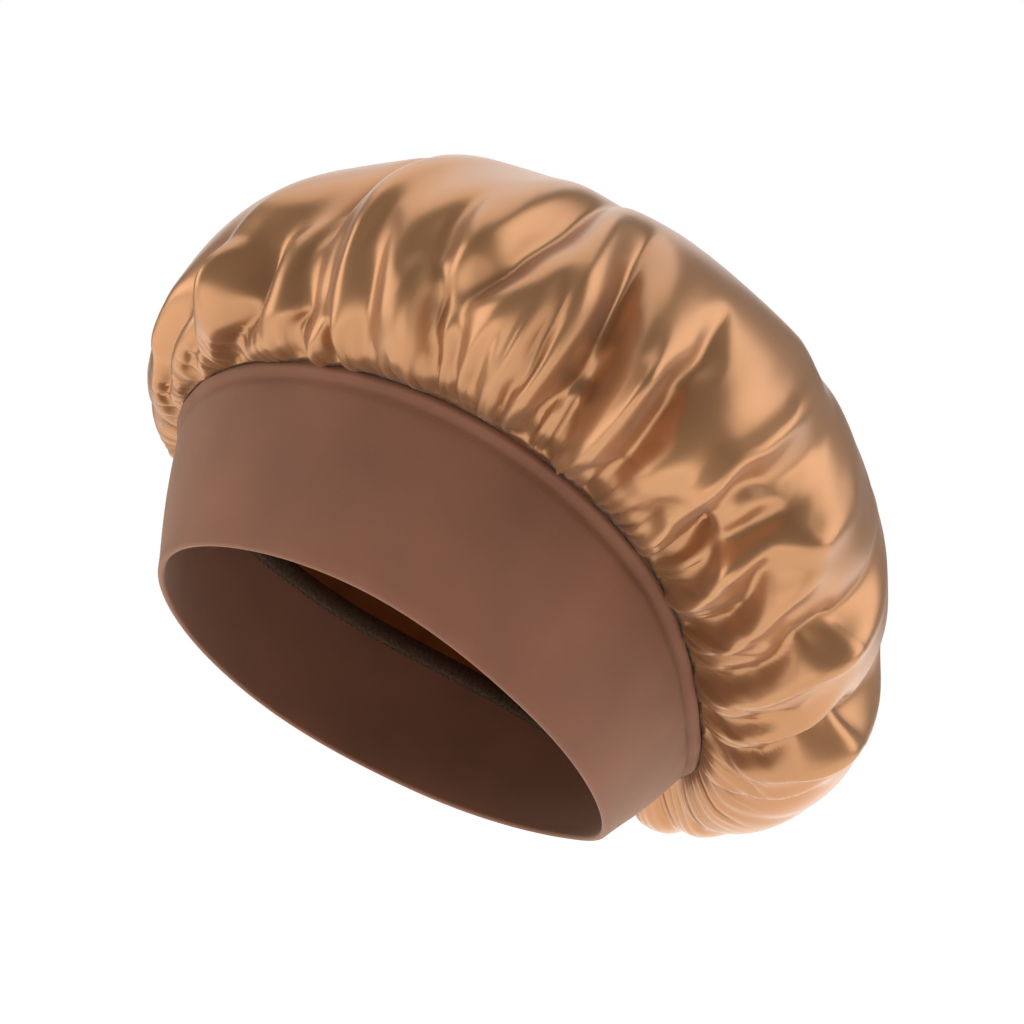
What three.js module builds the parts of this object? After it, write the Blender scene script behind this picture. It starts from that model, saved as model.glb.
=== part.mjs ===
// A sleep bonnet as it is worn: a puffed satin crown gathered onto a wide stretch band.
// Millimetres, +Z up. The wearer faces -Y and their left is +X. The origin is the centre of
// the opening, where the bonnet sits on the head, and its own axis leans back from upright.

import * as THREE from "three";

// Driving sizes
const headGirth = 567; // round the foot of the band
const bandHeight = 59; // foot to seam, along the bonnet's axis
const bandFlare = 19; // how much further out the seam is than the foot
const bandWall = 2.2; // two layers of stretch satin
const bandBow = 1.6; // how far the band's middle bellies out
const lipHeight = 4.5; // the turned lip under the seam, down to its groove
const lipProud = 1.1; // how far the lip stands out
const grooveDepth = 1.3; // how far the groove under the lip goes in
const crownTop = 132; // seam to the top of the crown, along the axis
const crownPuff = 42; // how far the crown billows out past the seam
const crownRise = 30; // how far above the seam the crown is widest
const crownSag = 18; // how far the crown hangs before it turns up
const crownWall = 1.5;
const foldDepth = 10; // the deepest folds that run up from the seam
const gatherDepth = 0.8; // the small pleats beside the seam
const allowanceHeight = 8; // the overlocked seam allowance inside the band
const allowanceWall = 1.8;
const seamGap = 0.3; // between pieces that are sewn together
const tiltBack = 35.5; // degrees from upright

// The bonnet's sections, one each 45 degrees round it from the brow. Each column is a share
// of the named size it follows: footOut of the foot's radius, footUp and seamUp of
// bandHeight, flare of bandFlare, and puff, rise and sag of the crown's sizes.
const sections = [
  { at: "brow", footOut: 1.06, footUp: -0.03, flare: 1.08, seamUp: 1.02, puff: 0.7, rise: 1.1, sag: 0.35 },
  { at: "left temple", footOut: 1.04, footUp: -0.01, flare: 0.83, seamUp: 1.1, puff: 0.85, rise: 1.15, sag: 0.4 },
  { at: "left ear", footOut: 1, footUp: -0.07, flare: 0.48, seamUp: 1.03, puff: 1.17, rise: 1, sag: 0.6 },
  { at: "left back", footOut: 0.98, footUp: -0.07, flare: 0.56, seamUp: 0.79, puff: 1.21, rise: 0.8, sag: 1 },
  { at: "nape", footOut: 0.98, footUp: 0.08, flare: 1.38, seamUp: 0.88, puff: 1.08, rise: 0.95, sag: 2 },
  { at: "right back", footOut: 0.98, footUp: 0.09, flare: 1.27, seamUp: 1.14, puff: 1.2, rise: 0.8, sag: 1.3 },
  { at: "right ear", footOut: 0.96, footUp: 0.02, flare: 1.15, seamUp: 1.04, puff: 1.02, rise: 1, sag: 0.7 },
  { at: "right temple", footOut: 1, footUp: -0.01, flare: 1.36, seamUp: 0.94, puff: 0.56, rise: 1.15, sag: 0.35 },
];

// The crown's main folds, in order round it: the bearing in degrees where each leaves the
// seam, how far it leans round as it rises, its depth as a share of foldDepth, and the share
// of the way to the top that it reaches.
const folds = [
  { bearing: 1, lean: 10, depth: 0.9, reach: 0.5 },
  { bearing: 10, lean: 4, depth: 0.4, reach: 0.35 },
  { bearing: 17.5, lean: -1, depth: 1, reach: 0.6 },
  { bearing: 22.5, lean: 0, depth: 0.6, reach: 0.45 },
  { bearing: 28, lean: -2, depth: 0.7, reach: 0.45 },
  { bearing: 38.5, lean: -4, depth: 0.8, reach: 0.55 },
  { bearing: 45, lean: -3, depth: 0.7, reach: 0.4 },
  { bearing: 50, lean: -1, depth: 0.9, reach: 0.75 },
  { bearing: 58, lean: 0, depth: 1, reach: 0.65 },
  { bearing: 64, lean: 0, depth: 0.9, reach: 0.5 },
  { bearing: 72, lean: 0, depth: 0.9, reach: 0.55 },
  { bearing: 82, lean: 2, depth: 0.3, reach: 0.35 },
  { bearing: 91, lean: 3, depth: 0.9, reach: 0.6 },
  { bearing: 98, lean: 1, depth: 0.8, reach: 0.5 },
  { bearing: 113, lean: -9, depth: 1, reach: 0.45 },
  { bearing: 120, lean: -10, depth: 0.6, reach: 0.35 },
  { bearing: 128, lean: -12, depth: 0.8, reach: 0.5 },
  { bearing: 141, lean: -14, depth: 0.7, reach: 0.4 },
  { bearing: 154, lean: -15, depth: 1, reach: 0.5 },
  { bearing: 162, lean: -11, depth: 0.6, reach: 0.35 },
  { bearing: 172, lean: -5, depth: 0.8, reach: 0.5 },
  { bearing: 183, lean: 0, depth: 0.6, reach: 0.4 },
  { bearing: 194, lean: 4, depth: 0.9, reach: 0.55 },
  { bearing: 206, lean: 8, depth: 0.7, reach: 0.4 },
  { bearing: 216, lean: 7, depth: 0.9, reach: 0.5 },
  { bearing: 229, lean: 5, depth: 0.6, reach: 0.4 },
  { bearing: 240, lean: 3, depth: 1, reach: 0.6 },
  { bearing: 251, lean: 0, depth: 0.7, reach: 0.4 },
  { bearing: 262, lean: -2, depth: 0.9, reach: 0.55 },
  { bearing: 275, lean: 0, depth: 0.5, reach: 0.35 },
  { bearing: 284, lean: 3, depth: 1, reach: 0.6 },
  { bearing: 295, lean: 4, depth: 0.7, reach: 0.45 },
  { bearing: 305, lean: 5, depth: 0.8, reach: 0.5 },
  { bearing: 316, lean: 6, depth: 0.5, reach: 0.4 },
  { bearing: 326, lean: 8, depth: 0.6, reach: 0.4 },
  { bearing: 340, lean: 9, depth: 0.7, reach: 0.45 },
  { bearing: 351, lean: 9, depth: 0.5, reach: 0.4 },
];

// How finely the surfaces are stepped
const bandColumns = 80;
const foldColumns = [0, 0.22, 0.5, 0.78]; // shares of the way from one fold to the next
const lowRows = 6; // seam to the crown's widest place
const topRows = 8; // widest place to the top
const lowShare = 0.35; // the widest place, as a share of the way to the top
const leanShare = 0.25; // the folds have leaned over by here
const deepShare = 0.12; // the folds are at their deepest from here
const gatherShare = 0.1; // the small pleats have died out by here

const turn = 360;
const footRadius = headGirth / (2 * Math.PI);
const { degToRad, lerp, smoothstep } = THREE.MathUtils;

// One column of the sections table at any bearing, on a smooth closed curve through its rows.
function sectionShare(column, bearing) {
  const count = sections.length;
  const along = (((bearing % turn) + turn) % turn) / (turn / count);
  const row = Math.floor(along);
  const t = along - row;
  const [a, b, c, d] = [-1, 0, 1, 2].map((k) => sections[(row + k + count) % count][column]);
  return b + 0.5 * t * (c - a + t * (2 * a - 5 * b + 4 * c - d + t * (3 * (b - c) + d - a)));
}

// The lengths of the section at a bearing: radii from the axis and heights above the foot.
function sectionAt(bearing) {
  const share = (column) => sectionShare(column, bearing);
  const footR = footRadius * share("footOut");
  const footZ = bandHeight * share("footUp");
  const seamR = footR + bandFlare * share("flare");
  const seamZ = bandHeight * share("seamUp");
  const wideR = seamR + crownPuff * share("puff");
  const wideZ = seamZ + crownRise * share("rise");
  return { footR, footZ, seamR, seamZ, wideR, wideZ, sag: crownSag * share("sag") };
}

// A point at a bearing, radius and height. Bearing 0 is the brow and 90 the wearer's left.
function pointAt(bearing, [r, z]) {
  const angle = degToRad(bearing);
  return new THREE.Vector3(r * Math.sin(angle), -r * Math.cos(angle), z);
}

// A section's profile from [radius, height] in the band's own slant: up along its outer face
// from the foot, as millimetres, and out square to it.
function onBand(section, up, out) {
  const rise = new THREE.Vector2(section.seamR - section.footR, section.seamZ - section.footZ);
  const length = rise.length();
  rise.normalize();
  const bow = bandBow * Math.sin(Math.PI * THREE.MathUtils.clamp(up / length, 0, 1));
  const proud = out + bow;
  return [section.footR + rise.x * up + rise.y * proud, section.footZ + rise.y * up - rise.x * proud];
}

function bandLength(section) {
  return Math.hypot(section.seamR - section.footR, section.seamZ - section.footZ);
}

// The band's closed profile: up its outer face, over the lip, and down its inner face to the
// rounded fold at the foot.
function bandProfile(section) {
  const top = bandLength(section);
  const fold = bandWall / 2;
  const outer = [
    [fold, 0],
    [top * 0.35, 0],
    [top * 0.7, 0],
    [top - 2 * lipHeight, 0],
    [top - lipHeight, -grooveDepth],
    [top - lipHeight / 2, lipProud],
    [top, 0],
  ];
  const inner = [
    [top, -bandWall],
    [top - 2 * lipHeight, -bandWall],
    [top * 0.5, -bandWall],
    [fold, -bandWall],
    [0, -fold],
  ];
  return [...outer, ...inner].map(([up, out]) => onBand(section, up, out));
}

// The seam allowance's profile: a flat strip just inside the band, under the seam.
function allowanceProfile(section) {
  const top = bandLength(section) - seamGap;
  const near = -bandWall - seamGap;
  const far = near - allowanceWall;
  const corners = [
    [top - allowanceHeight, near],
    [top, near],
    [top, far],
    [top - allowanceHeight, far],
  ];
  return corners.map(([up, out]) => onBand(section, up, out));
}

// The crown's smooth outer profile at a share of the way from the seam to the top: a curve
// that sags and turns up to the widest place, then a quarter ellipse to the top.
function crownProfile(section, share) {
  const start = new THREE.Vector2(section.seamR, section.seamZ + seamGap);
  const wide = new THREE.Vector2(section.wideR, section.wideZ);
  if (share < lowShare) {
    const out = lerp(start.x, wide.x, 0.7);
    const under = lerp(wide.y, start.y, 0.6);
    const hang = new THREE.Vector2(out, start.y - section.sag);
    const curve = new THREE.CubicBezierCurve(start, hang, new THREE.Vector2(wide.x, under), wide);
    return curve.getPoint(share / lowShare);
  }
  const angle = ((share - lowShare) / (1 - lowShare)) * (Math.PI / 2);
  const top = bandHeight + crownTop;
  return new THREE.Vector2(wide.x * Math.cos(angle), wide.y + (top - wide.y) * Math.sin(angle));
}

// The direction into the hollow, square to the smooth profile.
function crownInward(section, share) {
  const step = 0.002;
  const low = crownProfile(section, Math.max(share - step, 0));
  const high = crownProfile(section, Math.min(share + step, 1));
  const along = high.sub(low).normalize();
  return new THREE.Vector2(-along.y, along.x);
}

// How deep a fold is at a share of the way up, from nothing at the seam.
function foldDepthAt(fold, share) {
  const grown = Math.sqrt(Math.min(share / deepShare, 1));
  const faded = 1 - smoothstep(share, fold.reach * 0.35, fold.reach);
  return foldDepth * fold.depth * grown * faded;
}

// The crown's columns, four from each fold to the next. Each knows its two folds and how far
// it stands between them.
const columns = folds.flatMap((fold, index) => {
  const next = folds[(index + 1) % folds.length];
  const span = (next.bearing - fold.bearing + turn) % turn;
  return foldColumns.map((part, order) => ({
    fold,
    next,
    part,
    pleat: order % 2 ? -1 : 1,
    bearing: fold.bearing + span * part,
    lean: lerp(fold.lean, next.lean, part),
  }));
});

// The crown's folded cloth in one column, at a share of the way up and a depth into the wall.
function crownPoint(column, share, wall) {
  const leaned = smoothstep(share, -leanShare, leanShare) * 2 - 1;
  const bearing = column.bearing + column.lean * leaned;
  const section = sectionAt(bearing);
  const fromFold = (1 - column.part) ** 3 * foldDepthAt(column.fold, share);
  const fromNext = column.part ** 3 * foldDepthAt(column.next, share);
  const gather = Math.sin(Math.PI * Math.min(share / gatherShare, 1)) * gatherDepth * column.pleat;
  const inward = crownInward(section, share);
  const place = crownProfile(section, share).addScaledVector(inward, fromFold + fromNext + gather + wall);
  return pointAt(bearing, [place.x, place.y]);
}

// Adds the points of each ring in turn, and returns a builder that joins rings and tips.
function surfaceBuilder(rings) {
  const positions = [];
  const index = [];
  const starts = rings.map((ring) => {
    const start = positions.length / 3;
    ring.forEach((point) => positions.push(point.x, point.y, point.z));
    return start;
  });
  const count = rings[0].length;
  return {
    join(low, high) {
      for (let j = 0; j < count; j++) {
        const k = (j + 1) % count;
        const [a, b, c, d] = [starts[low] + j, starts[low] + k, starts[high] + k, starts[high] + j];
        index.push(a, b, c, a, c, d);
      }
    },
    close(ring, tip, turned) {
      const apex = positions.length / 3;
      positions.push(tip.x, tip.y, tip.z);
      for (let j = 0; j < count; j++) {
        const pair = [starts[ring] + j, starts[ring] + ((j + 1) % count)];
        index.push(...(turned ? pair.reverse() : pair), apex);
      }
    },
    geometry() {
      const made = new THREE.BufferGeometry();
      made.setAttribute("position", new THREE.Float32BufferAttribute(positions, 3));
      made.setIndex(index);
      made.computeVertexNormals();
      return made;
    },
  };
}

// A closed hoop: a profile carried round all bearings, its last point joined to its first.
function hoopGeometry(profileOf) {
  const bearings = Array.from({ length: bandColumns }, (_, j) => (turn * j) / bandColumns);
  const profiles = bearings.map((bearing) => profileOf(sectionAt(bearing)));
  const rings = profiles[0].map((_, i) => bearings.map((bearing, j) => pointAt(bearing, profiles[j][i])));
  const surface = surfaceBuilder(rings);
  rings.forEach((_, i) => surface.join(i, (i + 1) % rings.length));
  return surface.geometry();
}

// The crown: its outer cloth up to the top, its inner cloth back down, and the open hem.
function crownGeometry() {
  const low = Array.from({ length: lowRows }, (_, i) => lowShare * (i / lowRows) ** 1.3);
  const high = Array.from({ length: topRows }, (_, i) => lerp(lowShare, 1, i / topRows));
  const shares = [...low, ...high];
  const outer = shares.map((share) => columns.map((column) => crownPoint(column, share, 0)));
  const inner = shares.map((share) => columns.map((column) => crownPoint(column, share, crownWall)));
  const surface = surfaceBuilder([...outer, ...inner]);
  const last = shares.length - 1;
  for (let i = 0; i < last; i++) {
    surface.join(i, i + 1);
    surface.join(shares.length + i + 1, shares.length + i);
  }
  surface.join(shares.length, 0);
  const top = bandHeight + crownTop;
  surface.close(last, new THREE.Vector3(0, 0, top), false);
  surface.close(shares.length + last, new THREE.Vector3(0, 0, top - crownWall), true);
  return surface.geometry();
}

function cloth(color, roughness) {
  return new THREE.MeshStandardMaterial({ color, roughness, metalness: 0, side: THREE.DoubleSide });
}

function piece(name, geometry, material) {
  const mesh = new THREE.Mesh(geometry, material);
  mesh.name = name;
  return mesh;
}

const bonnet = new THREE.Group();
bonnet.name = "sleep_bonnet";
bonnet.rotation.x = -degToRad(tiltBack);
bonnet.add(piece("crown", crownGeometry(), cloth(0xb08458, 0.35)));
bonnet.add(piece("band", hoopGeometry(bandProfile), cloth(0x7b5340, 0.8)));
bonnet.add(piece("seam_allowance", hoopGeometry(allowanceProfile), cloth(0x3a2a20, 0.9)));

export default bonnet;
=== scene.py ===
"""A satin sleep bonnet in the form it has when worn: a gathered crown on a wide folded band."""
import math
from collections import namedtuple

import bpy
import numpy as np
from bpy.props import FloatProperty, FloatVectorProperty, IntProperty, PointerProperty
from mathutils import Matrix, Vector


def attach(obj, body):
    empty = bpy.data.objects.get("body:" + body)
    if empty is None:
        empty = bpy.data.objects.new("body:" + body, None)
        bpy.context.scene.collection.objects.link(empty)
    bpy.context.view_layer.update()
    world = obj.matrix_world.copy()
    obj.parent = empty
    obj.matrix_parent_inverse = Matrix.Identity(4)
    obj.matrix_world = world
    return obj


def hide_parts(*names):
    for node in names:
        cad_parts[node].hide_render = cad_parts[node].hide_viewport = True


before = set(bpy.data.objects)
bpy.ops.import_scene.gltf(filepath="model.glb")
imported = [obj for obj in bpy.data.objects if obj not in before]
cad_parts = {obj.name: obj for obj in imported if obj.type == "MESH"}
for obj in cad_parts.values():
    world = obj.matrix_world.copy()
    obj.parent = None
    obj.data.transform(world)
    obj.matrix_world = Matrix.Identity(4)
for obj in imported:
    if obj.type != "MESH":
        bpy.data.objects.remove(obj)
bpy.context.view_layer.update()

bl_info = {
    "name": "Satin Sleep Bonnet",
    "version": (1, 0, 0),
    "blender": (4, 5, 0),
    "location": "View3D > Sidebar > Bonnet",
    "description": "Makes a gathered satin sleep bonnet on a wide folded band, and its stage",
    "category": "Object",
}

MM = 0.001
TURN = 360.0
BODY = "root"

# The bonnet's sections, one each 45 degrees round it from the brow. The columns are shares of
# the sizes that they follow: foot radius, band height, flare, band height, puff, rise, sag.
Section = namedtuple("Section", "foot_out foot_up flare seam_up puff rise sag")
SECTIONS = [
    Section(1.06, -0.03, 1.08, 1.02, 0.70, 1.10, 0.35),
    Section(1.04, -0.01, 0.83, 1.10, 0.85, 1.15, 0.40),
    Section(1.00, -0.07, 0.48, 1.03, 1.17, 1.00, 0.60),
    Section(0.98, -0.07, 0.56, 0.79, 1.21, 0.80, 1.00),
    Section(0.98, 0.08, 1.38, 0.88, 1.08, 0.95, 2.00),
    Section(0.98, 0.09, 1.27, 1.14, 1.20, 0.80, 1.30),
    Section(0.96, 0.02, 1.15, 1.04, 1.02, 1.00, 0.70),
    Section(1.00, -0.01, 1.36, 0.94, 0.56, 1.15, 0.35),
]

# The creases on the side that is looked at: depth as a share of the fold depth, width in
# degrees, the side on which the cloth stands up in a ridge (-1, 1 or neither), and the
# crease's way as pairs of bearing and share of the way from seam to top.
Crease = namedtuple("Crease", "depth width side way")
SEEN_CREASES = [
    Crease(0.8, 2.4, -1, [(329, 0.0), (336, 0.08), (345, 0.16), (354, 0.26)]),
    Crease(0.7, 2.4, 1, [(345, 0.0), (354, 0.1), (358, 0.22), (361, 0.36)]),
    Crease(0.9, 2.4, -1, [(361, 0.02), (368, 0.1), (370, 0.2), (369, 0.34), (373, 0.42)]),
    Crease(1.1, 2.6, 1, [(16.5, 0.01), (18.5, 0.14), (18.5, 0.3), (18, 0.44), (17, 0.6)]),
    Crease(0.6, 1.6, 0, [(23, 0.05), (22.5, 0.2), (22.5, 0.32)]),
    Crease(0.7, 1.6, 1, [(24.5, 0.02), (24.5, 0.18), (23.5, 0.36)]),
    Crease(0.6, 2.2, 0, [(31, 0.02), (31, 0.2), (30, 0.34)]),
    Crease(0.9, 1.9, -1, [(41.5, 0.02), (41, 0.12), (40, 0.2), (39, 0.3), (37, 0.42)]),
    Crease(0.8, 2.0, -1, [(43, 0.25), (46.5, 0.36), (48.5, 0.49), (51, 0.68)]),
    Crease(0.7, 1.3, 1, [(46, 0.02), (44.5, 0.12), (44, 0.22)]),
    Crease(0.6, 1.3, 1, [(49.5, 0.02), (48.5, 0.12), (46.5, 0.24)]),
    Crease(0.7, 1.7, -1, [(54, 0.01), (54.5, 0.12), (55, 0.22), (55, 0.34)]),
    Crease(1.2, 2.2, -1, [(58, 0.02), (59.5, 0.12), (60.5, 0.27), (60.5, 0.4), (59.5, 0.56)]),
    Crease(1.0, 1.8, 1, [(63, 0.02), (63, 0.14), (63, 0.27), (64, 0.37)]),
    Crease(0.6, 2.2, 0, [(69.5, 0.02), (69.5, 0.15), (68.5, 0.26)]),
    Crease(0.9, 2.0, -1, [(73, 0.1), (73.5, 0.22), (73, 0.36), (73, 0.46)]),
    Crease(0.7, 2.6, 0, [(79, 0.0), (81, 0.1), (83, 0.18)]),
    Crease(0.9, 1.4, 0, [(90, 0.0), (89.5, 0.08), (89, 0.12)]),
    Crease(0.8, 2.0, -1, [(92, 0.02), (87.5, 0.12), (88.5, 0.29), (95.5, 0.45), (98.5, 0.53)]),
    Crease(0.9, 2.2, 1, [(97, 0.01), (91.5, 0.14), (94, 0.3), (98.5, 0.44)]),
    Crease(1.1, 2.8, 1, [(107, 0.0), (103, 0.1), (98, 0.2), (96, 0.3)]),
    Crease(0.5, 1.8, 0, [(113, 0.0), (107, 0.14), (104, 0.24)]),
    Crease(1.0, 2.2, 1, [(119, 0.0), (115, 0.1), (111, 0.2), (111.5, 0.32), (115, 0.42)]),
    Crease(0.8, 2.0, 1, [(130, 0.0), (126, 0.1), (122, 0.22)]),
    Crease(1.1, 2.4, 1, [(141, 0.0), (137, 0.07), (132, 0.16), (131, 0.3), (138, 0.42)]),
    Crease(0.7, 2.0, -1, [(155, 0.0), (151, 0.08), (146, 0.2)]),
]

# The folds of the hidden side: the bearing of each, how far it leans round as it rises, its
# depth as a share of the fold depth, and the share of the way to the top that it reaches.
Fold = namedtuple("Fold", "bearing lean depth reach")
HIDDEN_FOLDS = [
    Fold(172, -5, 0.8, 0.50),
    Fold(183, 0, 0.6, 0.40),
    Fold(194, 4, 0.9, 0.55),
    Fold(206, 5, 0.7, 0.40),
    Fold(216, 7, 0.9, 0.50),
    Fold(229, 5, 0.6, 0.40),
    Fold(240, 3, 1.0, 0.60),
    Fold(251, 0, 0.7, 0.40),
    Fold(262, -2, 0.9, 0.55),
    Fold(275, 0, 0.5, 0.35),
    Fold(284, 3, 1.0, 0.60),
    Fold(295, 4, 0.7, 0.45),
    Fold(305, 5, 0.8, 0.50),
    Fold(313, 6, 0.5, 0.40),
]

# How far the groove under the band's lip is drawn in round the seam: bearing and share.
GROOVE_PULL = [
    (0, 0.9),
    (25, 0.5),
    (50, 0.35),
    (70, 0.6),
    (90, 1.0),
    (150, 1.0),
    (200, 0.7),
    (330, 0.9),
    (360, 0.9),
]

# How a crease is cut: how much wider than its row says, how high the ridge beside it stands,
# and how rounded its bottom is, in degrees.
WIDEN = 1.6
RIDGE = 0.55
SOFT = 0.6

# The small creases and the soft dents that no table lists.
SMALL_CREASES = 110
SOFT_DENTS = 26

# The crown's grid: columns round it, and rows under and over its widest place.
CROWN_COLUMNS = 340
LOW_ROWS = 20
TOP_ROWS = 30

# How much more cloth the crown is cut with than its smooth form needs, up from the seam.
SPARE_SHARES = [0, 0.05, 0.15, 0.3, 0.45, 0.7, 1]
SPARE_CLOTH = [1.12, 1.24, 1.27, 1.2, 1.12, 1.04, 1.0]

# The satin as the cloth simulation takes it, how firmly its form is held, and how far the
# cloth may move from its creased start.
CLOTH_FRAMES = 20
MASS = 0.001
TENSION = 5.0
COMPRESSION = 0.1
SHEAR = 0.2
BENDING = 0.08
DAMPING = 0.3
PRESSURE = 2.0
HOLD = 0.02
MOVE_CAP = 4 * MM

# The fine pleats at the seam, and how far the hanging satin stays from the band.
PLEATS = 170
BAND_GAP = 1.6 * MM

# The band's grid: columns round it, and rows outside, round the foot's fold and inside.
BAND_COLUMNS = 480
OUTER_ROWS = 34
FOLD_ROWS = 7
INNER_ROWS = 14

# What the camera looks at, in metres to its right of the axis and over the foot.
LOOK_RIGHT = 0.04436
LOOK_UP = 0.06924
FILM_WIDTH = 36

# The soft square lights: the place of each from the bonnet, as the camera sees it, its side
# in metres and its power in watts. They are aimed at the middle of the bonnet.
Light = namedtuple("Light", "name right up towards size power")
LIGHTS = [
    Light("left_window", -1.35, 0.65, 0.35, 1.3, 15),
    Light("right_window", 1.4, 0.7, 0.25, 1.3, 14),
    Light("top_window", 0, 1.4, -0.2, 1.3, 9),
    Light("low_fill", -0.2, -0.4, 0.9, 1.0, 3.5),
    Light("back_window", 0, 0.8, -1.3, 1.4, 7),
]
LIT_PLACE = (0, 0.03, 0.06)

# The floor's radius in metres, its paint and the glow that keeps it white to its edge.
FLOOR_RADIUS = 6.0
FLOOR_PAINT = (0.85, 0.85, 0.85, 1)
FLOOR_GLOW = 0.97
WHITE = (1, 1, 1, 1)

# The overlocked edge: columns of its cloth, stitches of its thread and steps to a stitch.
EDGE_COLUMNS = 720
STITCHES = 240
STITCH_STEPS = 12


class BonnetSizes(bpy.types.PropertyGroup):
    head_girth: FloatProperty(
        name="Head girth",
        description="Round the foot of the band",
        default=0.567,
        unit="LENGTH",
    )
    band_height: FloatProperty(
        name="Band height",
        description="Foot to seam along the axis",
        default=0.059,
        unit="LENGTH",
    )
    band_flare: FloatProperty(
        name="Band flare",
        description="Seam further out than the foot",
        default=0.019,
        unit="LENGTH",
    )
    band_wall: FloatProperty(
        name="Band thickness",
        description="Two layers of stretch satin",
        default=0.0022,
        unit="LENGTH",
    )
    band_bow: FloatProperty(
        name="Band bow",
        description="How far its middle bellies out",
        default=0.0016,
        unit="LENGTH",
    )
    lip_height: FloatProperty(
        name="Lip height",
        description="The turned lip under the seam",
        default=0.0045,
        unit="LENGTH",
    )
    lip_proud: FloatProperty(
        name="Lip proud",
        description="How far the lip stands out",
        default=0.0016,
        unit="LENGTH",
    )
    groove_depth: FloatProperty(
        name="Groove depth",
        description="The groove under the lip",
        default=0.0016,
        unit="LENGTH",
    )
    crown_top: FloatProperty(
        name="Crown height",
        description="Seam to top along the axis",
        default=0.132,
        unit="LENGTH",
    )
    crown_puff: FloatProperty(
        name="Crown puff",
        description="How far it billows past the seam",
        default=0.042,
        unit="LENGTH",
    )
    crown_rise: FloatProperty(
        name="Crown rise",
        description="Seam to its widest place",
        default=0.030,
        unit="LENGTH",
    )
    crown_sag: FloatProperty(
        name="Crown sag",
        description="How far it hangs under the seam",
        default=0.018,
        unit="LENGTH",
    )
    fold_depth: FloatProperty(
        name="Fold depth",
        description="The deepest folds at the seam",
        default=0.016,
        unit="LENGTH",
    )
    gather_depth: FloatProperty(
        name="Gather depth",
        description="The small pleats at the seam",
        default=0.0020,
        unit="LENGTH",
    )
    satin_thickness: FloatProperty(
        name="Satin thickness",
        description="The crown's cloth",
        default=0.0006,
        unit="LENGTH",
    )
    allowance_height: FloatProperty(
        name="Allowance",
        description="Height of the seam allowance",
        default=0.008,
        unit="LENGTH",
    )
    tilt_back: FloatProperty(
        name="Tilt",
        description="Lean back from upright",
        default=math.radians(35.5),
        unit="ROTATION",
    )


class BonnetColours(bpy.types.PropertyGroup):
    satin: FloatVectorProperty(
        name="Satin",
        description="Champagne satin",
        subtype="COLOR",
        size=4,
        default=(0.41, 0.202, 0.092, 1),
    )
    band: FloatVectorProperty(
        name="Band",
        description="Mocha stretch satin",
        subtype="COLOR",
        size=4,
        default=(0.165, 0.066, 0.037, 1),
    )
    thread: FloatVectorProperty(
        name="Thread",
        description="Overlock thread",
        subtype="COLOR",
        size=4,
        default=(0.06, 0.034, 0.02, 1),
    )


class BonnetStage(bpy.types.PropertyGroup):
    camera_bearing: FloatProperty(
        name="Camera bearing",
        description="Round from the brow",
        default=math.radians(56.5),
        unit="ROTATION",
    )
    camera_distance: FloatProperty(
        name="Camera distance",
        description="From the bonnet",
        default=0.9,
        unit="LENGTH",
    )
    lens: FloatProperty(name="Lens", description="Focal length in millimetres", default=89.72)
    floor_drop: FloatProperty(
        name="Floor drop",
        description="The floor's depth under the bonnet",
        default=0.30,
        unit="LENGTH",
    )
    room_light: FloatProperty(
        name="Room light",
        description="Strength of the even light",
        default=0.17,
    )
    seed: IntProperty(name="Seed", description="Start of the chance creases", default=4)


def smooth(value, low, high):
    """A soft step from nothing at low to one at high."""
    t = np.clip((value - low) / (high - low), 0, 1)
    return t * t * (3 - 2 * t)


def apart(bearing, other):
    """Degrees from one bearing to another, the short way round."""
    return (bearing - other + TURN / 2) % TURN - TURN / 2


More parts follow.
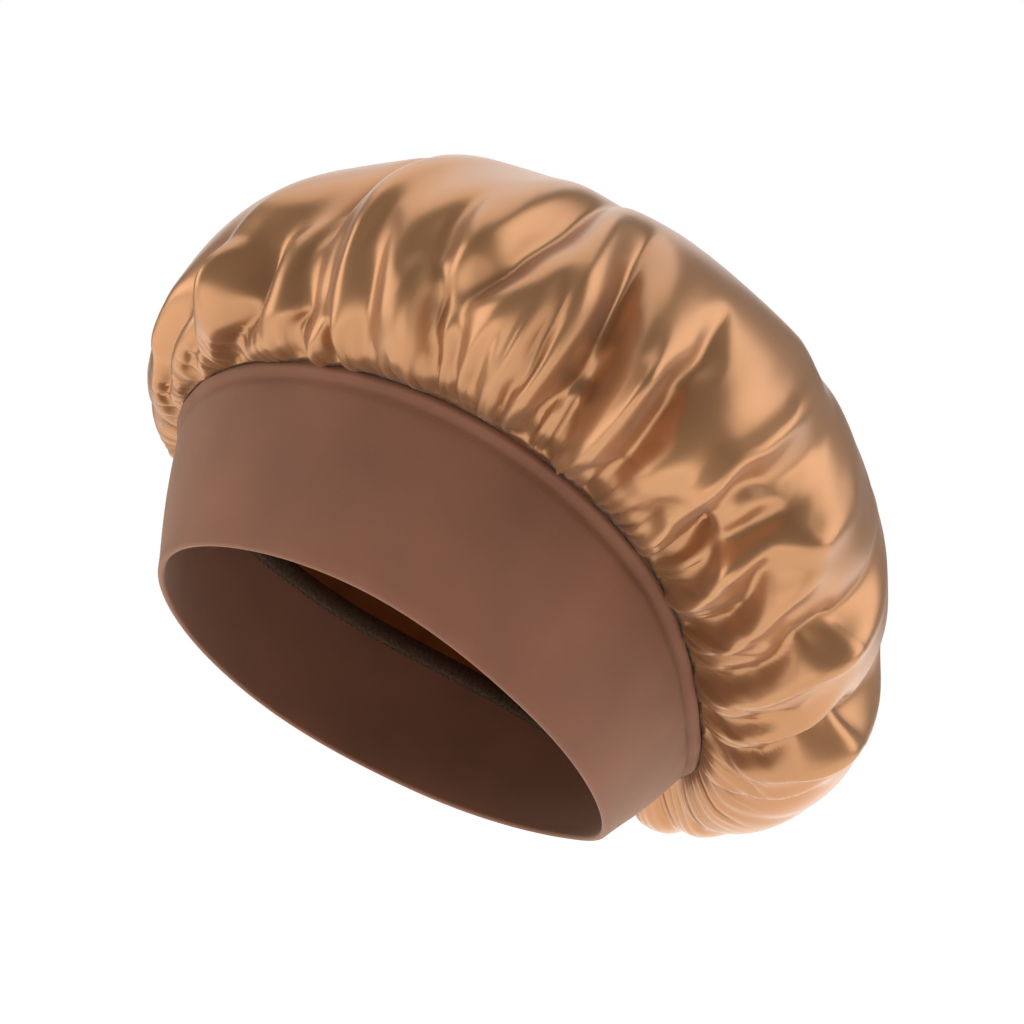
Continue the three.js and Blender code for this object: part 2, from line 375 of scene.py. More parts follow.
class Form:
    """The bonnet's smooth form. Bearing 0 is the brow and 90 the wearer's left."""

    low_share = 0.35  # the crown's widest place, as a share of the way to the top

    def __init__(self, sizes):
        self.sizes = sizes
        self.foot_radius = sizes.head_girth / (2 * math.pi)
        self.top = sizes.band_height + sizes.crown_top
        self.cos, self.sin = math.cos(sizes.tilt_back), math.sin(sizes.tilt_back)

    def section(self, bearing):
        """The section's radii from the axis and heights over the foot, at any bearing."""
        rows = np.array(SECTIONS)
        along = (np.asarray(bearing, float) % TURN) / (TURN / len(rows))
        row = np.floor(along).astype(int)
        t = (along - row)[..., None]
        a, b, c, d = (rows[(row + k) % len(rows)] for k in (-1, 0, 1, 2))
        share = b + 0.5 * t * (c - a + t * (2 * a - 5 * b + 4 * c - d + t * (3 * (b - c) + d - a)))
        at = {name: share[..., k] for k, name in enumerate(Section._fields)}
        sizes = self.sizes
        foot_r = self.foot_radius * at["foot_out"]
        foot_z = sizes.band_height * at["foot_up"]
        seam_r = foot_r + sizes.band_flare * at["flare"]
        seam_z = sizes.band_height * at["seam_up"]
        return {
            "foot_r": foot_r,
            "foot_z": foot_z,
            "seam_r": seam_r,
            "seam_z": seam_z,
            "wide_r": seam_r + sizes.crown_puff * at["puff"],
            "wide_z": seam_z + sizes.crown_rise * at["rise"],
            "sag": sizes.crown_sag * at["sag"],
        }

    def place(self, bearing, radius, height):
        """Points in the world from bearings, radii and heights along the leaning axis."""
        angle = np.radians(bearing)
        x, y = radius * np.sin(angle), -radius * np.cos(angle)
        return np.stack([x, y * self.cos + height * self.sin, height * self.cos - y * self.sin], -1)

    def measure(self, points):
        """The bearings, radii and heights of points in the world."""
        x, y, z = points[..., 0], points[..., 1], points[..., 2]
        back, up = y * self.cos - z * self.sin, y * self.sin + z * self.cos
        return np.degrees(np.arctan2(x, -back)) % TURN, np.hypot(x, back), up

    def crown(self, section, share):
        """The crown's radius and height at a share of the way from the seam to the top."""
        s = np.clip(share / self.low_share, 0, 1)
        t = np.clip((share - self.low_share) / (1 - self.low_share), 0, 1) * math.pi / 2
        start, wide_r, wide_z = section["seam_z"] + 0.3 * MM, section["wide_r"], section["wide_z"]
        out = section["seam_r"] + 0.7 * (wide_r - section["seam_r"])
        under = wide_z - 0.6 * (wide_z - start)

        def bezier(a, b, c, d):
            return a * (1 - s) ** 3 + 3 * b * s * (1 - s) ** 2 + 3 * c * s * s * (1 - s) + d * s**3

        low_r = bezier(section["seam_r"], out, wide_r, wide_r)
        low_z = bezier(start, start - section["sag"], under, wide_z)
        high_r, high_z = wide_r * np.cos(t), wide_z + (self.top - wide_z) * np.sin(t)
        is_low = share < self.low_share
        return np.where(is_low, low_r, high_r), np.where(is_low, low_z, high_z)

    def inward(self, section, share):
        """The direction into the hollow, square to the smooth crown."""
        r0, z0 = self.crown(section, np.clip(share - 0.002, 0, 1))
        r1, z1 = self.crown(section, np.clip(share + 0.002, 0, 1))
        length = np.hypot(r1 - r0, z1 - z0) + 1e-12
        return -(z1 - z0) / length, (r1 - r0) / length

    def on_band(self, section, up, out):
        """Radius and height of a point up the band's slant from the foot and out from it."""
        rise_r = section["seam_r"] - section["foot_r"]
        rise_z = section["seam_z"] - section["foot_z"]
        length = np.hypot(rise_r, rise_z)
        rise_r, rise_z = rise_r / length, rise_z / length
        proud = out + self.sizes.band_bow * np.sin(math.pi * np.clip(up / length, 0, 1))
        radius = section["foot_r"] + rise_r * up + rise_z * proud
        height = section["foot_z"] + rise_z * up - rise_r * proud
        return radius, height

    def band_length(self, section):
        """The length of the band's slant from foot to seam."""
        return np.hypot(section["seam_r"] - section["foot_r"], section["seam_z"] - section["foot_z"])


def new_piece(name, points, faces, material):
    """A smooth shaded mesh piece that rides on the bonnet."""
    mesh = bpy.data.meshes.new(name)
    mesh.from_pydata(np.asarray(points).tolist(), [], faces)
    mesh.update()
    piece = bpy.data.objects.new(name, mesh)
    bpy.context.scene.collection.objects.link(piece)
    mesh.materials.append(material)
    for polygon in mesh.polygons:
        polygon.use_smooth = True
    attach(piece, BODY)
    return piece


def ring_faces(columns, rows, closed):
    """Quads between neighbouring columns of a grid that goes all round, column by column."""
    faces = []
    last = rows if closed else rows - 1
    for j in range(columns):
        k = (j + 1) % columns
        for i in range(last):
            n = (i + 1) % rows
            faces.append((j * rows + i, k * rows + i, k * rows + n, j * rows + n))
    return faces


def crease_ways():
    """All the creases round the crown, the seen ones and the hidden side's."""
    ways = list(SEEN_CREASES)
    for fold in HIDDEN_FOLDS:
        start, end = fold.bearing - fold.lean, fold.bearing + fold.lean
        way = [(start, 0.0), (fold.bearing, 0.1), (end, 0.25), (end + 0.4 * fold.lean, fold.reach)]
        ways.append(Crease(0.75 * fold.depth, 2.6, 0, way))
    return ways


def crease_depth(bearing, share, crease, skew):
    """How deep a crease is, as a share, at bearings and shares of the way up."""
    shares = np.array([s for _, s in crease.way])
    bearings = np.array([b for b, _ in crease.way])
    middle = np.interp(share, shares, bearings)
    off = apart(bearing, middle)
    width = WIDEN * crease.width * np.where(off > 0, 1 + skew, 1 - skew) * (0.6 + 1.3 * share)
    start, end = shares[0], shares[-1] * 1.2 + 0.02
    from_seam = np.sqrt(np.clip(share / 0.1, 0, 1))
    grown = np.where(start > 0.2, smooth(share, start - 0.1, start + 0.08), from_seam)
    faded = 1 - smooth(share, end * 0.5, end)
    ridge = np.exp(-(((off - crease.side * 1.4 * width) / (0.65 * width)) ** 2))
    valley = np.exp((SOFT - np.hypot(off, SOFT)) / width)
    return crease.depth * grown * faded * (valley - RIDGE * abs(crease.side) * ridge)


def chance_creases(bearing, share, chance):
    """The small creases and soft dents that no table lists, from a seeded chance."""
    depth = np.zeros_like(share)
    seen = smooth(np.abs(apart(bearing, 65.0)), 75, 105)
    for _ in range(SMALL_CREASES):
        start, lean = chance.random() * TURN, chance.normal() * 8
        deep = (chance.random() - 0.3) * 3.2 * MM
        width = 0.9 + 2.0 * chance.random()
        reach = 0.08 + 0.4 * chance.random() ** 1.5
        off = apart(bearing, start + lean * share)
        grown = np.sqrt(np.clip(share / 0.05, 0, 1)) * (1 - smooth(share, reach * 0.4, reach))
        depth += (0.55 + 0.45 * seen) * deep * grown * np.exp((0.5 - np.hypot(off, 0.5)) / width)
    for _ in range(SOFT_DENTS):
        start, height = chance.random() * TURN, 0.25 + 0.75 * chance.random()
        deep = (chance.random() - 0.45) * 5.0 * MM
        wide = 9 + 9 * chance.random()
        tall = 0.07 + 0.09 * chance.random()
        off = apart(bearing, start) * np.cos(np.clip(share - 0.35, 0, 0.65) * 2.0)
        depth += deep * np.exp(-((off / wide) ** 2) - ((share - height) / tall) ** 2)
    return depth


def crown_start(form, chance):
    """The crown before its cloth settles: its rows' shares, smooth base, creased start and top."""
    low = form.low_share * (np.arange(LOW_ROWS) / LOW_ROWS) ** 1.15
    high = form.low_share + (1 - form.low_share) * (np.arange(TOP_ROWS) / TOP_ROWS)
    shares = np.concatenate([low, high])
    bearings = np.arange(CROWN_COLUMNS) * TURN / CROWN_COLUMNS
    share = shares[None, :] * np.ones((CROWN_COLUMNS, 1))
    bearing = bearings[:, None] * np.ones_like(share)
    section = form.section(bearing)
    radius, height = form.crown(section, share)
    in_r, in_z = form.inward(section, share)
    depth = chance_creases(bearing, share, chance)
    for crease in crease_ways():
        skew = (chance.random() - 0.5) * 0.5
        depth += form.sizes.fold_depth * crease_depth(bearing, share, crease, skew)
    hang = np.clip(section["sag"] / form.sizes.crown_sag - 0.6, 0, 1)
    depth *= 1 - 0.3 * hang * smooth(share, 0.0, 0.04) * (1 - smooth(share, 0.1, 0.24))
    base = form.place(bearing, radius, height)
    creased = form.place(bearing, radius + in_r * depth, height + in_z * depth)
    apex = form.place(np.array(0.0), np.array(0.0), np.array(form.top))
    return shares, base, creased, apex


def cut_shape(shares, base, apex):
    """The crown as if its cloth hung open with no creases, for the cloth's own lengths."""
    along = np.linalg.norm(np.diff(base, axis=1), axis=2)
    last = np.linalg.norm(base[:, -1] - apex, axis=1)
    round_it = np.linalg.norm(np.roll(base, -1, axis=0) - base, axis=2).sum(0)
    spare = np.interp(shares, SPARE_SHARES, SPARE_CLOTH)
    radius = spare * round_it / (2 * math.pi)
    step = along.min(0) * 0.97
    radius[-1] = min(radius[-1], last.min() * 0.97)
    for i in range(len(radius) - 2, -1, -1):
        radius[i] = min(radius[i], radius[i + 1] + step[i])
    for i in range(1, len(radius)):
        radius[i] = min(radius[i], radius[i - 1] + step[i - 1])
    drop = np.sqrt(np.maximum(along**2 - np.diff(radius)[None, :] ** 2, 1e-12))
    first = np.sqrt(np.maximum(last**2 - radius[-1] ** 2, 1e-12))
    drops = np.concatenate([drop, first[:, None]], 1)
    height = -np.cumsum(drops[:, ::-1], axis=1)[:, ::-1]
    angle = 2 * math.pi * np.arange(len(base)) / len(base)
    points = np.stack([np.cos(angle)[:, None] * radius, np.sin(angle)[:, None] * radius, height], -1)
    return points, np.zeros(3)


def settle(points, apex, rest, rest_apex):
    """Lets the crown's cloth settle under the air in it, its hem held at the seam."""
    columns, rows = points.shape[:2]
    faces = ring_faces(columns, rows, closed=False)
    tip = columns * rows
    faces += [(j * rows + rows - 1, ((j + 1) % columns) * rows + rows - 1, tip) for j in range(columns)]
    start = np.concatenate([points.reshape(-1, 3), apex[None]])
    mesh = bpy.data.meshes.new("settling")
    mesh.from_pydata(start.tolist(), [], faces)
    cloth = bpy.data.objects.new("settling", mesh)
    bpy.context.scene.collection.objects.link(cloth)
    held = cloth.vertex_groups.new(name="held")
    held.add([j * rows for j in range(columns)], 1.0, "REPLACE")
    held.add([j * rows + i for j in range(columns) for i in range(1, rows)], HOLD, "REPLACE")
    cloth.shape_key_add(name="worn")
    cut = cloth.shape_key_add(name="cut")
    flat = np.concatenate([rest.reshape(-1, 3), rest_apex[None]])
    cut.data.foreach_set("co", flat.astype(np.float32).ravel())
    cut.value = 0.0
    weld = cloth.modifiers.new("weld", "WELD")
    weld.merge_threshold = 1e-8
    modifier = cloth.modifiers.new("cloth", "CLOTH")
    stuff = modifier.settings
    stuff.quality = 6
    stuff.mass = MASS
    stuff.tension_stiffness = TENSION
    stuff.compression_stiffness = COMPRESSION
    stuff.shear_stiffness = SHEAR
    stuff.bending_stiffness = BENDING
    stuff.tension_damping = stuff.compression_damping = stuff.shear_damping = DAMPING
    stuff.bending_damping = DAMPING * 0.1
    stuff.air_damping = 1.0
    stuff.vertex_group_mass = "held"
    stuff.pin_stiffness = 1.0
    stuff.rest_shape_key = cut
    stuff.use_pressure = True
    stuff.uniform_pressure_force = PRESSURE
    stuff.effector_weights.gravity = 0.0
    modifier.collision_settings.use_collision = False
    modifier.point_cache.frame_start = 1
    modifier.point_cache.frame_end = CLOTH_FRAMES + 1
    scene = bpy.context.scene
    for step in range(1, CLOTH_FRAMES + 1):
        scene.frame_set(step)
    settled = cloth.evaluated_get(bpy.context.evaluated_depsgraph_get()).to_mesh()
    moved = np.zeros(len(start) * 3, np.float32)
    settled.vertices.foreach_get("co", moved)
    moved = moved.reshape(-1, 3).astype(float)
    scene.frame_set(1)
    bpy.data.objects.remove(cloth)
    bpy.data.meshes.remove(mesh)
    step = moved - start
    far = np.linalg.norm(step, axis=1)
    limit = MOVE_CAP * np.tanh(far / MOVE_CAP) / np.maximum(far, 1e-9)
    moved = start + step * limit[:, None]
    return moved[:-1].reshape(columns, rows, 3), moved[-1]


def blurred(field, columns_wide, rows_wide):
    """A field on the crown's grid, averaged softly round it and up it."""
    columns, rows = field.shape[:2]
    wave = np.fft.fftfreq(columns)[:, None, None]
    spread = np.exp(-2 * (math.pi * wave * columns_wide) ** 2)
    field = np.fft.ifft(np.fft.fft(field, axis=0) * spread, axis=0).real
    row = np.arange(rows)
    weight = np.exp(-(((row[:, None] - row[None, :]) / rows_wide) ** 2) / 2)
    weight /= weight.sum(1, keepdims=True)
    return np.einsum("ab,cbk->cak", weight, field)


def back_to_form(points, base, shares):
    """Takes out the broad swelling that the air gave the cloth, and keeps its creases."""
    moved = blurred(points - base, 0.4, 0.9) * smooth(shares, -0.01, 0.01)[None, :, None]
    moved -= blurred(moved, 14.0, 5.0) * smooth(shares, -0.02, 0.05)[None, :, None]
    calm = smooth(shares, 0.62, 0.95)[None, :, None]
    moved = moved * (1 - calm) + blurred(moved, 30.0, 2.0) * calm
    still = smooth(shares, 0.86, 1.0)[None, :, None]
    return base + moved * (1 - still) + moved.mean(axis=0, keepdims=True) * still


def between(points, axis):
    """Points halfway between neighbours, on a smooth curve through four of them."""
    before, after, far = (np.roll(points, -k, axis=axis) for k in (-1, 1, 2))
    return (9 * (points + after) - before - far) / 16


def refine(points, apex):
    """Twice as many columns and rows, with the ones there were kept."""
    columns, rows = points.shape[:2]
    wide = np.empty((columns * 2, rows, 3))
    wide[0::2], wide[1::2] = points, between(points, 0)
    over = np.roll(wide, columns, axis=0)[:, ::-1]
    tip = np.broadcast_to(apex, (columns * 2, 1, 3))
    first = 2 * wide[:, :1] - wide[:, 1:2]
    line = np.concatenate([first, wide, tip, over[:, :2]], axis=1)
    half = between(line, 1)[:, 1 : rows + 1]
    tall = np.empty((columns * 2, rows * 2, 3))
    tall[:, 0::2], tall[:, 1::2] = wide, half
    return tall


def grid_normals(points):
    """The outward direction at each point of the crown's grid."""
    around = np.roll(points, -1, axis=0) - np.roll(points, 1, axis=0)
    up = np.gradient(points, axis=1)
    normal = np.cross(around, up)
    return normal / np.maximum(np.linalg.norm(normal, axis=2, keepdims=True), 1e-12)


def gather_hem(form, points, shares, chance):
    """Adds the fine uneven pleats that the seam's stitches draw the satin into."""
    columns = points.shape[0]
    widths = 0.6 + 0.8 * chance.random(PLEATS)
    ends = np.cumsum(widths) / widths.sum() * columns
    phase = np.interp(np.arange(columns), np.concatenate([[0], ends]), np.arange(PLEATS + 1))
    height = 0.55 + 0.9 * chance.random(PLEATS)
    amount = np.interp(phase % PLEATS, np.arange(PLEATS), height)
    wave = (1 - np.abs(np.sin(math.pi * phase)) ** 0.7) * amount
    grown = np.clip(shares / 0.012, 0, 1) * (1 - smooth(shares, 0.02, 0.14))
    depth = form.sizes.gather_depth * wave[:, None] * grown[None, :]
    return points - grid_normals(points) * depth[..., None]


def clear_of_band(form, points, gap):
    """Keeps the sagging satin outside the band that it hangs over."""
    bearing, radius, height = form.measure(points)
    section = form.section(bearing)
    share = np.clip((height - section["foot_z"]) / (section["seam_z"] - section["foot_z"]), 0, 1)
    line = section["foot_r"] + (section["seam_r"] - section["foot_r"]) * share
    belly = (form.sizes.band_bow * np.sin(math.pi * share) + gap) * smooth(share, 1.0, 0.97)
    under = height < section["seam_z"]
    wanted = np.where(under, np.maximum(radius, line + belly), radius)
    return form.place(bearing, wanted, height)


def close_crown(outer, inner, apex, inner_apex):
    """One closed cloth from the fine outer grid and an inner grid half as fine."""
    wide, tall = outer.shape[:2]
    columns, rows = inner.shape[:2]
    points = np.concatenate([outer.reshape(-1, 3), apex[None], inner.reshape(-1, 3), inner_apex[None]])
    tip = wide * tall
    base = tip + 1
    faces = ring_faces(wide, tall, closed=False)
    faces += [(j * tall + tall - 1, ((j + 1) % wide) * tall + tall - 1, tip) for j in range(wide)]
    for face in ring_faces(columns, rows, closed=False):
        faces.append(tuple(base + v for v in reversed(face)))
    end = base + columns * rows
    for j in range(columns):
        k = (j + 1) % columns
        faces.append((base + k * rows + rows - 1, base + j * rows + rows - 1, end))
        a, b, c = 2 * j * tall, (2 * j + 1) * tall, ((2 * j + 2) % wide) * tall
        p, q = base + j * rows, base + k * rows
        faces += [(p, b, a), (p, q, b), (q, c, b)]
    return points, faces


def nodes_of(name):
    """A new material's nodes, its links and its main shader."""
    material = bpy.data.materials.new(name)
    material.use_nodes = True
    tree = material.node_tree
    return material, tree, tree.nodes["Principled BSDF"]


def noise(tree, source, scale, detail=3.0):
    """A noise texture on the given coordinates."""
    node = tree.nodes.new("ShaderNodeTexNoise")
    node.inputs["Scale"].default_value = scale
    node.inputs["Detail"].default_value = detail
    tree.links.new(source, node.inputs["Vector"])
    return node.outputs["Fac"]


def ramp(tree, source, low, high, ends=(0.3, 0.7)):
    """A colour ramp between two colours."""
    node = tree.nodes.new("ShaderNodeValToRGB")
    node.color_ramp.elements[0].position, node.color_ramp.elements[1].position = ends
    node.color_ramp.elements[0].color, node.color_ramp.elements[1].color = low, high
    tree.links.new(source, node.inputs["Fac"])
    return node.outputs["Color"]


def bump(tree, source, strength, distance, before=None):
    """A bump from a height, on top of an earlier one."""
    node = tree.nodes.new("ShaderNodeBump")
    node.inputs["Strength"].default_value = strength
    node.inputs["Distance"].default_value = distance
    tree.links.new(source, node.inputs["Height"])
    if before is not None:
        tree.links.new(before, node.inputs["Normal"])
    return node.outputs["Normal"]


def shade(colour, factor):
    """The colour made lighter or darker."""
    return (*[min(1.0, c * factor) for c in colour[:3]], 1.0)


def satin_material(colour):
    """Champagne satin: long soft highlights, a fine weave and slight changes of tone."""
    material, tree, shader = nodes_of("champagne_satin")
    place = tree.nodes.new("ShaderNodeTexCoord").outputs["Object"]
    tone = noise(tree, place, 14.0, 2.0)
    tree.links.new(ramp(tree, tone, shade(colour, 0.9), shade(colour, 1.06)), shader.inputs["Base Color"])
    weave = noise(tree, place, 1500.0, 2.0)
    soft = noise(tree, place, 160.0, 3.0)
    normal = bump(tree, soft, 0.12, 0.0004)
    tree.links.new(bump(tree, weave, 0.06, 0.0002, normal), shader.inputs["Normal"])
    shader.inputs["Metallic"].default_value = 0.66
    shader.inputs["Roughness"].default_value = 0.35
    shader.inputs["Sheen Weight"].default_value = 0.08
    shader.inputs["Sheen Roughness"].default_value = 0.4
    return material


def band_material(colour):
    """Mocha stretch satin on its matte side: a fine knit with a soft nap."""
    material, tree, shader = nodes_of("mocha_stretch_satin")
    place = tree.nodes.new("ShaderNodeTexCoord").outputs["Object"]
    tone = noise(tree, place, 22.0, 4.0)
    tree.links.new(ramp(tree, tone, shade(colour, 0.86), shade(colour, 1.12)), shader.inputs["Base Color"])
    knit = noise(tree, place, 1300.0, 2.0)
    nap = noise(tree, place, 240.0, 4.0)
    normal = bump(tree, nap, 0.16, 0.0005)
    tree.links.new(bump(tree, knit, 0.2, 0.0003, normal), shader.inputs["Normal"])
    shader.inputs["Roughness"].default_value = 0.78
    shader.inputs["Specular IOR Level"].default_value = 0.25
    shader.inputs["Sheen Weight"].default_value = 0.15
    shader.inputs["Sheen Roughness"].default_value = 0.5
    shader.inputs["Sheen Tint"].default_value = (1.0, 0.85, 0.62, 1)
    return material


def thread_material(name, colour):
    """Dark overlock thread and the raw edges it binds."""
    material, tree, shader = nodes_of(name)
    place = tree.nodes.new("ShaderNodeTexCoord").outputs["Object"]
    twist = noise(tree, place, 900.0, 3.0)
    tree.links.new(ramp(tree, twist, shade(colour, 0.7), shade(colour, 1.5)), shader.inputs["Base Color"])
    tree.links.new(bump(tree, twist, 0.5, 0.0004), shader.inputs["Normal"])
    shader.inputs["Roughness"].default_value = 0.85
    shader.inputs["Specular IOR Level"].default_value = 0.2
    return material


class BONNET_OT_crown(bpy.types.Operator):
    """Make the gathered satin crown"""

    bl_idname = "bonnet.crown"
    bl_label = "Crown"

    def execute(self, context):
        form = Form(context.scene.bonnet_sizes)
        chance = np.random.default_rng(context.scene.bonnet_stage.seed)
        shares, base, creased, apex = crown_start(form, chance)
        rest, rest_apex = cut_shape(shares, base, apex)
        creased, _ = settle(creased, apex, rest, rest_apex)
        creased = back_to_form(creased, base, shares)
        apex = apex + (creased[:, -1] - base[:, -1]).mean(axis=0)
        outer = refine(creased, apex)
        fine = np.concatenate([shares, [1.0]])
        fine_shares = np.empty(2 * len(shares))
        fine_shares[0::2], fine_shares[1::2] = shares, (fine[:-1] + fine[1:]) / 2
        outer = gather_hem(form, outer, fine_shares, chance)
        outer = clear_of_band(form, outer, BAND_GAP)
        normals = grid_normals(outer)[0::2, 0::2]
        thick = form.sizes.satin_thickness
        inner = outer[0::2, 0::2] - normals * thick
        axis = form.place(np.array(0.0), np.array(0.0), np.array(1.0))
        points, faces = close_crown(outer, inner, apex, apex - axis * thick)
        material = satin_material(context.scene.bonnet_colours.satin)
        piece = new_piece("satin_crown", points, faces, material)
        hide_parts("crown")
        return {"FINISHED"}


class BONNET_OT_band(bpy.types.Operator):
    """Make the wide folded band with its lip and groove"""

    bl_idname = "bonnet.band"
    bl_label = "Band"

    def execute(self, context):
        form = Form(context.scene.bonnet_sizes)
        sizes = form.sizes
        bearing = np.arange(BAND_COLUMNS) * TURN / BAND_COLUMNS
        section = form.section(bearing)
        top = form.band_length(section)
        pull = np.interp(bearing, [b for b, _ in GROOVE_PULL], [p for _, p in GROOVE_PULL])
        wall = sizes.band_wall
        rows = []
        for share in (np.arange(OUTER_ROWS) / (OUTER_ROWS - 1)) ** 0.75:
            up = wall / 2 + (top - wall / 2) * share
            under = top - up
            lip = sizes.lip_proud * np.sin(math.pi * np.clip(under / sizes.lip_height, 0, 1)) ** 0.8
            below = under - sizes.lip_height - MM
            groove = sizes.groove_depth * pull * np.exp(-((below / (1.7 * MM)) ** 2))
            rolled = 0.35 * MM * np.exp(-(((up - 2.5 * MM) / (1.8 * MM)) ** 2))
            ripple = 0.35 * MM * np.sin(np.radians(bearing * 23 + 40 * np.sin(np.radians(bearing * 5))))
            soft = 0.5 * MM * np.sin(np.radians(bearing * 7 + 60)) * np.sin(math.pi * share)
            near = np.exp(-((under / (9 * MM)) ** 2)) * smooth(under, 0, 3 * MM)
            rows.append((up, lip - groove + rolled + ripple * near + soft * 0.6))
        for share in np.linspace(0, 1, INNER_ROWS):
            up = top - (top - wall / 2) * share
            rows.append((up, np.full(BAND_COLUMNS, -wall)))
        for turn in np.linspace(0, math.pi, FOLD_ROWS + 2)[1:-1]:
            up = np.full(BAND_COLUMNS, wall / 2 * (1 - math.sin(turn)))
            rows.append((up, np.full(BAND_COLUMNS, -wall / 2 * (1 + math.cos(turn)))))
        places = [form.place(bearing, *form.on_band(section, up, out)) for up, out in rows]
        points = np.stack(places, 1)
        faces = ring_faces(BAND_COLUMNS, len(rows), closed=True)
        material = band_material(context.scene.bonnet_colours.band)
        piece = new_piece("folded_band", points.reshape(-1, 3), faces, material)
        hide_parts("band")
        return {"FINISHED"}


class BONNET_OT_overlock(bpy.types.Operator):
    """Make the seam allowance and the overlock thread round its edge"""

    bl_idname = "bonnet.overlock"
    bl_label = "Overlocked seam"

    def execute(self, context):
        form = Form(context.scene.bonnet_sizes)
        sizes = form.sizes
        colour = context.scene.bonnet_colours.thread
        bearing = np.arange(EDGE_COLUMNS) * TURN / EDGE_COLUMNS
        section = form.section(bearing)
        top = form.band_length(section) - 0.3 * MM
        near = -sizes.band_wall - 0.3 * MM
        far = near - 1.4 * MM
        scallop = 0.7 * MM * np.abs(np.sin(np.radians(bearing * STITCHES / 2)))
        foot = top - sizes.allowance_height - scallop
        turned_in = (foot + 1.5 * MM, far)
        turned_edge = (foot + 0.4 * MM, far + 0.3 * MM)
        corners = [(foot, near), (top, near), (top, far), turned_in, turned_edge]
        places = [form.place(bearing, *form.on_band(section, up, out)) for up, out in corners]
        points = np.stack(places, 1).reshape(-1, 3)
        faces = ring_faces(EDGE_COLUMNS, len(corners), closed=True)
        material = thread_material("raw_edges", colour)
        edge = new_piece("seam_allowance_cloth", points, faces, material)
        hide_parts("seam_allowance")
        thread = self.thread(form, near, far, colour)
        return {"FINISHED"}

    def thread(self, form, near, far, colour):
        """The thread that winds over the allowance's raw edge, stitch after stitch."""
        count = STITCHES * STITCH_STEPS
        bearing = np.arange(count) * TURN / count
        section = form.section(bearing)
        edge = form.band_length(section) - form.sizes.allowance_height
        turn = 2 * math.pi * np.arange(count) / STITCH_STEPS
        up = edge + 2.2 * MM + 2.7 * MM * np.cos(turn)
        out = (near + far) / 2 + 1.15 * MM * np.sin(turn)
        points = form.place(bearing, *form.on_band(section, up, out))
        curve = bpy.data.curves.new("overlock_thread", "CURVE")
        curve.dimensions = "3D"
        curve.bevel_depth = 0.32 * MM
        curve.bevel_resolution = 1
        line = curve.splines.new("POLY")
        line.points.add(count - 1)
        line.points.foreach_set("co", np.concatenate([points, np.ones((count, 1))], 1).ravel())
        line.use_cyclic_u = True
        thread = bpy.data.objects.new("overlock_thread", curve)
        bpy.context.scene.collection.objects.link(thread)
        bpy.ops.object.select_all(action="DESELECT")
        thread.select_set(True)
        bpy.context.view_layer.objects.active = thread
        bpy.ops.object.convert(target="MESH")
        thread = bpy.context.object
        bpy.ops.object.shade_smooth()
        thread.data.materials.clear()
        thread.data.materials.append(thread_material("overlock_thread", colour))
        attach(thread, BODY)
        return thread


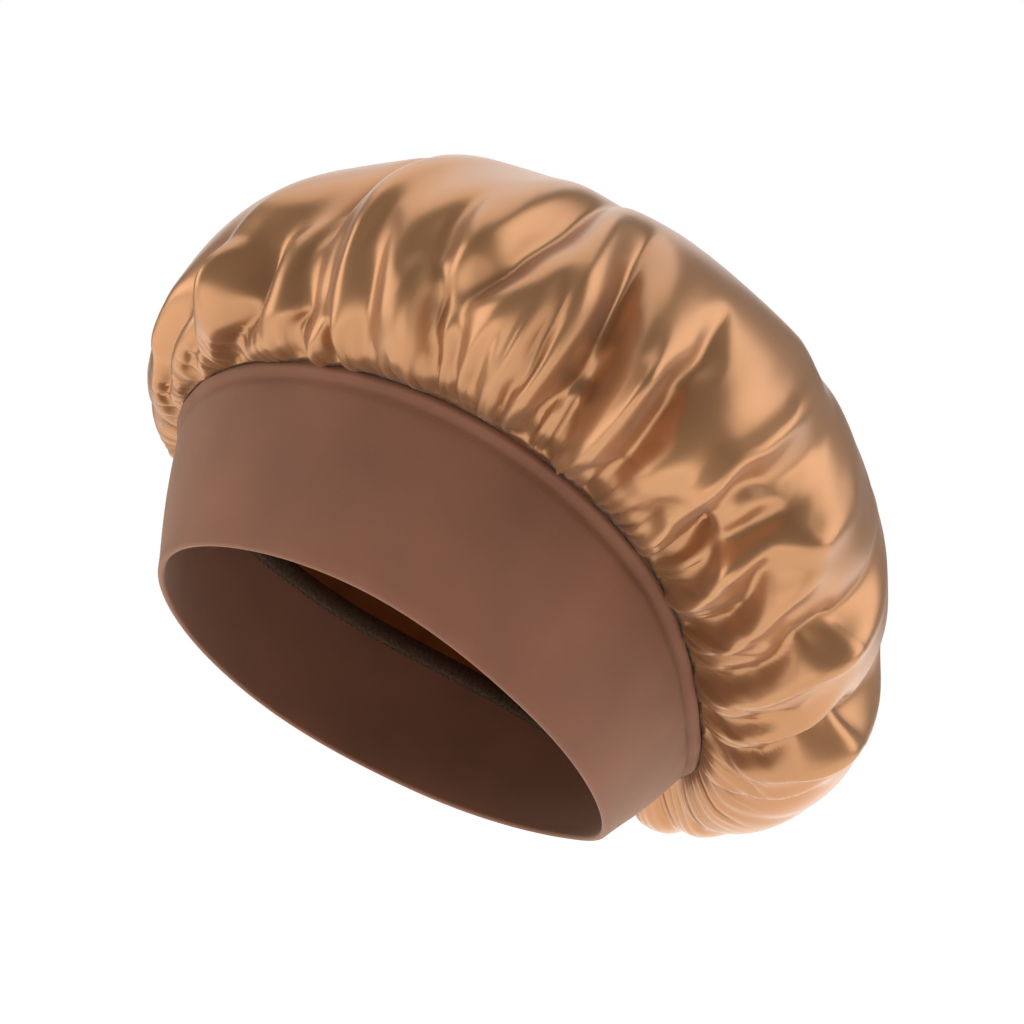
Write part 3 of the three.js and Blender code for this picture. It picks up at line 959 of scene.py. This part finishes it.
class BONNET_OT_stage(bpy.types.Operator):
    """Set the floor, the soft lights and the camera"""

    bl_idname = "bonnet.stage"
    bl_label = "Stage"

    def execute(self, context):
        stage = context.scene.bonnet_stage
        bearing = stage.camera_bearing
        right = Vector((math.cos(bearing), math.sin(bearing), 0))
        towards = Vector((math.sin(bearing), -math.cos(bearing), 0))
        up = Vector((0, 0, 1))
        look = right * LOOK_RIGHT + up * LOOK_UP
        self.camera(context, towards * stage.camera_distance, look, stage.lens)
        for light in LIGHTS:
            place = right * light.right + up * light.up + towards * light.towards
            self.light(light.name, place, light.size, light.power)
        self.floor(stage.floor_drop)
        self.room(context, stage.room_light)
        return {"FINISHED"}

    def camera(self, context, place, look, lens):
        """The camera at the height of the bonnet's foot."""
        bpy.ops.object.camera_add(location=place)
        camera = context.object
        camera.name = "camera"
        camera.rotation_euler = (look - place).to_track_quat("-Z", "Y").to_euler()
        camera.data.sensor_width = FILM_WIDTH
        camera.data.lens = lens
        context.scene.camera = camera

    def light(self, name, place, size, power):
        """A square soft light aimed at the bonnet."""
        bpy.ops.object.light_add(type="AREA", location=place)
        light = bpy.context.object
        light.name = name
        light.rotation_euler = (Vector(LIT_PLACE) - place).to_track_quat("-Z", "Y").to_euler()
        light.data.size = size
        light.data.energy = power

    def floor(self, drop):
        """A pale floor well under the bonnet."""
        place = (0, 0, -drop)
        bpy.ops.mesh.primitive_circle_add(vertices=96, radius=FLOOR_RADIUS, fill_type="NGON", location=place)
        floor = bpy.context.object
        floor.name = "floor"
        material, _, shader = nodes_of("pale_floor")
        shader.inputs["Base Color"].default_value = FLOOR_PAINT
        shader.inputs["Emission Color"].default_value = WHITE
        shader.inputs["Emission Strength"].default_value = FLOOR_GLOW
        shader.inputs["Roughness"].default_value = 0.9
        floor.data.materials.append(material)

    def room(self, context, strength):
        """Even white light, with a white background behind the bonnet."""
        world = bpy.data.worlds.new("white_room")
        context.scene.world = world
        world.use_nodes = True
        tree = world.node_tree
        background = tree.nodes["Background"]
        background.inputs["Color"].default_value = WHITE
        path = tree.nodes.new("ShaderNodeLightPath")
        blend = tree.nodes.new("ShaderNodeMapRange")
        blend.inputs["To Min"].default_value = strength
        blend.inputs["To Max"].default_value = 1.0
        tree.links.new(path.outputs["Is Camera Ray"], blend.inputs["Value"])
        tree.links.new(blend.outputs["Result"], background.inputs["Strength"])
        context.scene.view_settings.view_transform = "Standard"


class BONNET_PT_panel(bpy.types.Panel):
    """The bonnet's sizes, colours and pieces"""

    bl_label = "Sleep Bonnet"
    bl_idname = "BONNET_PT_panel"
    bl_space_type = "VIEW_3D"
    bl_region_type = "UI"
    bl_category = "Bonnet"

    def draw(self, context):
        for group in (context.scene.bonnet_sizes, context.scene.bonnet_colours, context.scene.bonnet_stage):
            for name in group.__annotations__:
                self.layout.prop(group, name)
        for operator in OPERATORS:
            self.layout.operator(operator.bl_idname)


OPERATORS = (BONNET_OT_crown, BONNET_OT_band, BONNET_OT_overlock, BONNET_OT_stage)
CLASSES = (BonnetSizes, BonnetColours, BonnetStage, *OPERATORS, BONNET_PT_panel)


def register():
    for cls in CLASSES:
        bpy.utils.register_class(cls)
    bpy.types.Scene.bonnet_sizes = PointerProperty(type=BonnetSizes)
    bpy.types.Scene.bonnet_colours = PointerProperty(type=BonnetColours)
    bpy.types.Scene.bonnet_stage = PointerProperty(type=BonnetStage)


def unregister():
    del bpy.types.Scene.bonnet_sizes
    del bpy.types.Scene.bonnet_colours
    del bpy.types.Scene.bonnet_stage
    for cls in reversed(CLASSES):
        bpy.utils.unregister_class(cls)


def main():
    register()
    bpy.ops.object.select_all(action="DESELECT")
    bpy.ops.bonnet.stage()
    bpy.ops.bonnet.crown()
    bpy.ops.bonnet.band()
    bpy.ops.bonnet.overlock()


if __name__ == "__main__":
    main()
